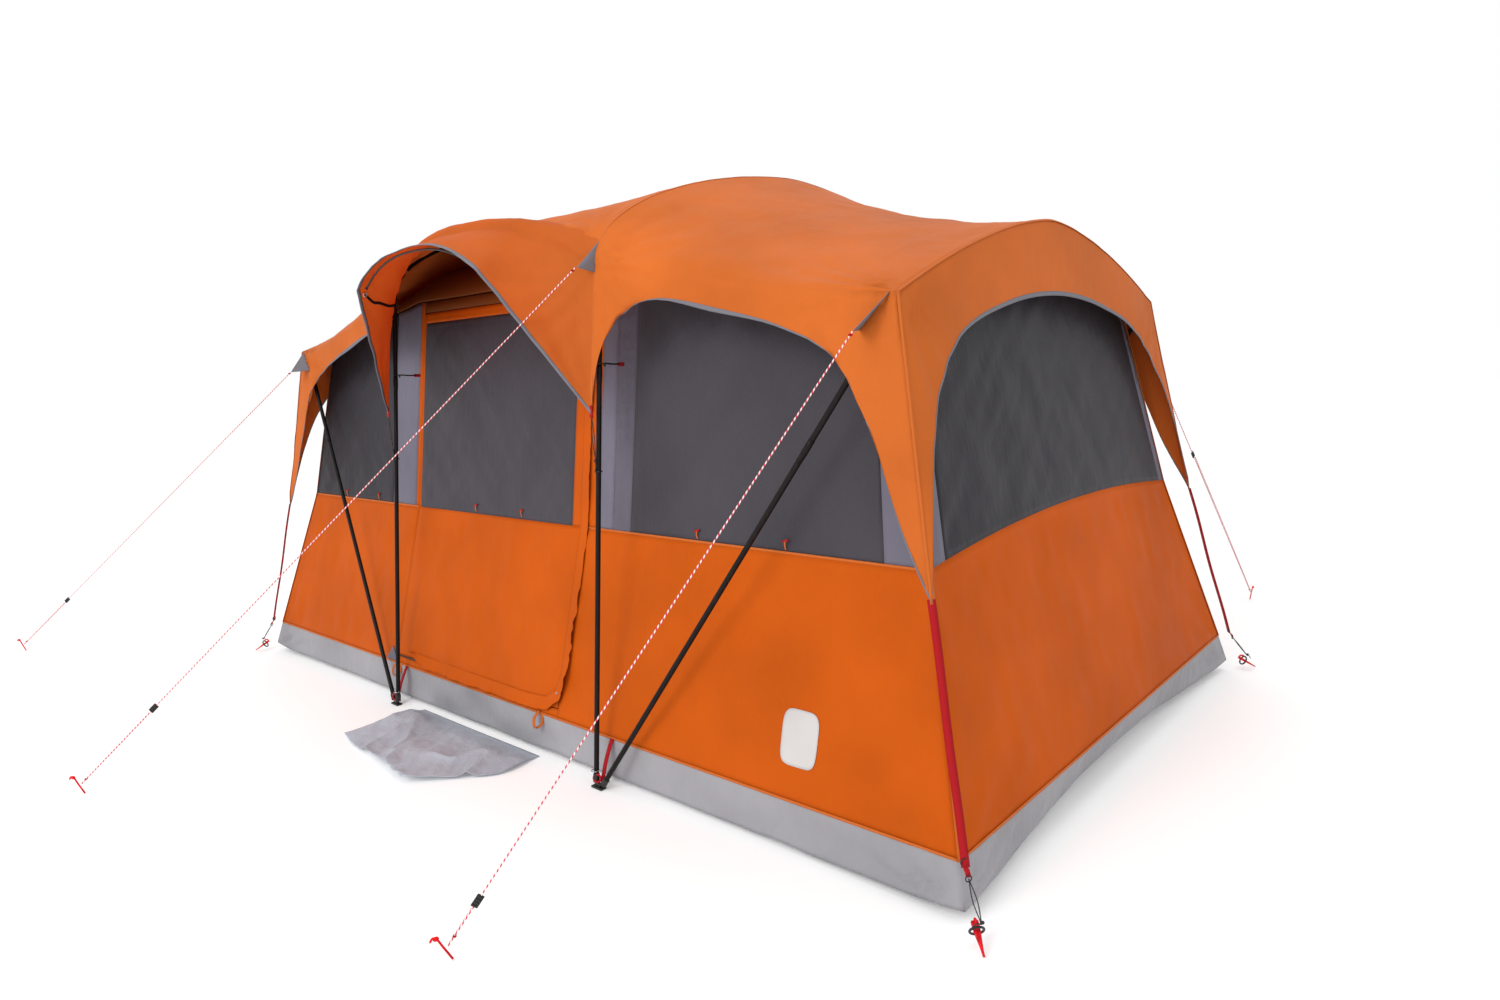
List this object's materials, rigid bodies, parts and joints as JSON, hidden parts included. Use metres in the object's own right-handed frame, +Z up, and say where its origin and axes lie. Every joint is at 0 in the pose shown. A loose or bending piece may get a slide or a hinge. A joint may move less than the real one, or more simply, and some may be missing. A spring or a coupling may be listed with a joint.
{
  "type": "dome tent",
  "caption": "Wide cabin-style dome tent on hooped poles, with scalloped flysheet, door awning, dark mesh windows, grey tub floor, doormat and guy lines.",
  "frame": {"origin": "centre of the tub floor's underside, on the ground", "axes": "+Z up, +X along the long side, the door faces -Y"},
  "size_m": [5.9401, 5.1136, 2.284],
  "materials": {
    "fly_polyester": "satin",
    "inner_polyester": "satin",
    "dark_cloth": "matte",
    "floor_grey": "satin",
    "pole_steel": "satin",
    "fibreglass_rod": "matte",
    "black_plastic": "matte",
    "red_webbing": "matte",
    "peg_red": "satin",
    "guy_cord": "matte"
  },
  "bodies": {
    "tent": {"upright_front_left": "pole_steel", "brace_front_left": "pole_steel", "foot_front_left": "black_plastic", "corner_strap_front_left": "red_webbing", "corner_peg_front_left": "peg_red", "upright_back_left": "pole_steel", "brace_back_left": "pole_steel", "foot_back_left": "black_plastic", "corner_strap_back_left": "red_webbing", "corner_peg_back_left": "peg_red", "roof_pole_left": "pole_steel", "end_arch_pole_left": "pole_steel", "fly_left": "fly_polyester", "wall_left": "inner_polyester", "upright_front_right": "pole_steel", "brace_front_right": "pole_steel", "foot_front_right": "black_plastic", "corner_strap_front_right": "red_webbing", "corner_peg_front_right": "peg_red", "upright_back_right": "pole_steel", "brace_back_right": "pole_steel", "foot_back_right": "black_plastic", "corner_strap_back_right": "red_webbing", "corner_peg_back_right": "peg_red", "roof_pole_right": "pole_steel", "end_arch_pole_right": "pole_steel", "fly_right": "fly_polyester", "wall_right": "inner_polyester", "awning_hoop": "fibreglass_rod", "fly_center": "fly_polyester", "awning_canopy": "fly_polyester", "tub_floor": "floor_grey", "wall_front": "inner_polyester", "wall_back": "inner_polyester", "inner_roof": "inner_polyester", "guyline_corner_right": "guy_cord", "guyline_peg_corner_right": "peg_red", "guyline_middle_right": "guy_cord", "guyline_peg_middle_right": "peg_red", "guyline_corner_left": "guy_cord", "guyline_peg_corner_left": "peg_red", "guyline_back_right": "guy_cord", "guyline_peg_back_right": "peg_red"},
    "door": {"door_panel": "inner_polyester"},
    "door_cover": {"door_window_cover": "dark_cloth"},
    "door_zip": {"door_zip_slider": "black_plastic"},
    "window_cover_front_left": {"window_cover_front_left": "dark_cloth"},
    "window_cover_front_right": {"window_cover_front_right": "dark_cloth"},
    "window_cover_back_left": {"window_cover_back_left": "dark_cloth"},
    "window_cover_back_right": {"window_cover_back_right": "dark_cloth"},
    "window_cover_end_left": {"window_cover_end_left": "dark_cloth"},
    "window_cover_end_right": {"window_cover_end_right": "dark_cloth"},
    "mat": {"doormat": "floor_grey"},
    "port_flap": {"cable_port_flap": "floor_grey"},
    "guyline_runner_corner_right": {"guyline_runner_corner_right": "black_plastic"},
    "guyline_runner_middle_right": {"guyline_runner_middle_right": "black_plastic"},
    "guyline_runner_corner_left": {"guyline_runner_corner_left": "black_plastic"},
    "guyline_runner_back_right": {"guyline_runner_back_right": "black_plastic"}
  },
  "joints": [
    {"name": "door_swing", "type": "hinge", "parent": "tent", "child": "door", "pos_m": [-0.85, -0.997, 0.896], "axis": [0, 0.1416, 0.9899], "range_deg": [0, 85]},
    {"name": "door_cover_fall", "type": "hinge", "parent": "door", "child": "door_cover", "pos_m": [-0.225, -0.98666, 0.905], "axis": [-1, 0, 0], "range_deg": [0, 135]},
    {"name": "door_zip_slide", "type": "slide", "parent": "door", "child": "door_zip", "axis": [0, 0.2643, 0.9645], "range_m": [0, 0.62]},
    {"name": "window_cover_front_left_fall", "type": "hinge", "parent": "tent", "child": "window_cover_front_left", "pos_m": [-1.25, -0.98666, 0.905], "axis": [-1, 0, 0], "range_deg": [0, 170]},
    {"name": "window_cover_front_right_fall", "type": "hinge", "parent": "tent", "child": "window_cover_front_right", "pos_m": [1.25, -0.98666, 0.905], "axis": [-1, 0, 0], "range_deg": [0, 170]},
    {"name": "window_cover_back_left_fall", "type": "hinge", "parent": "tent", "child": "window_cover_back_left", "pos_m": [-1.25, 0.98666, 0.905], "axis": [1, 0, 0], "range_deg": [0, 170]},
    {"name": "window_cover_back_right_fall", "type": "hinge", "parent": "tent", "child": "window_cover_back_right", "pos_m": [1.25, 0.98666, 0.905], "axis": [1, 0, 0], "range_deg": [0, 170]},
    {"name": "window_cover_end_left_fall", "type": "hinge", "parent": "tent", "child": "window_cover_end_left", "pos_m": [-1.96668, 0, 0.905], "axis": [0, 1, 0], "range_deg": [0, 165]},
    {"name": "window_cover_end_right_fall", "type": "hinge", "parent": "tent", "child": "window_cover_end_right", "pos_m": [1.96668, 0, 0.905], "axis": [0, -1, 0], "range_deg": [0, 165]},
    {"name": "doormat_lift", "type": "hinge", "parent": "tent", "child": "mat", "pos_m": [-0.15, -1.247, 0.0019], "axis": [-1, 0, 0], "range_deg": [0, 90]},
    {"name": "cable_flap_fold", "type": "hinge", "parent": "tent", "child": "port_flap", "pos_m": [-0.895, -1.19716, 0.17134], "axis": [-1, 0, 0], "range_deg": [0, 120]},
    {"name": "guyline_runner_corner_right_slide", "type": "slide", "parent": "tent", "child": "guyline_runner_corner_right", "axis": [0.3183, 0.5287, 0.7869], "range_m": [0, 0.3]},
    {"name": "guyline_runner_middle_right_slide", "type": "slide", "parent": "tent", "child": "guyline_runner_middle_right", "axis": [0.5761, 0.4771, 0.6637], "range_m": [0, 0.3]},
    {"name": "guyline_runner_corner_left_slide", "type": "slide", "parent": "tent", "child": "guyline_runner_corner_left", "axis": [0.6936, 0.4001, 0.599], "range_m": [0, 0.3]},
    {"name": "guyline_runner_back_right_slide", "type": "slide", "parent": "tent", "child": "guyline_runner_back_right", "axis": [-0.0776, -0.6768, 0.7321], "range_m": [0, 0.3]}
  ]
}
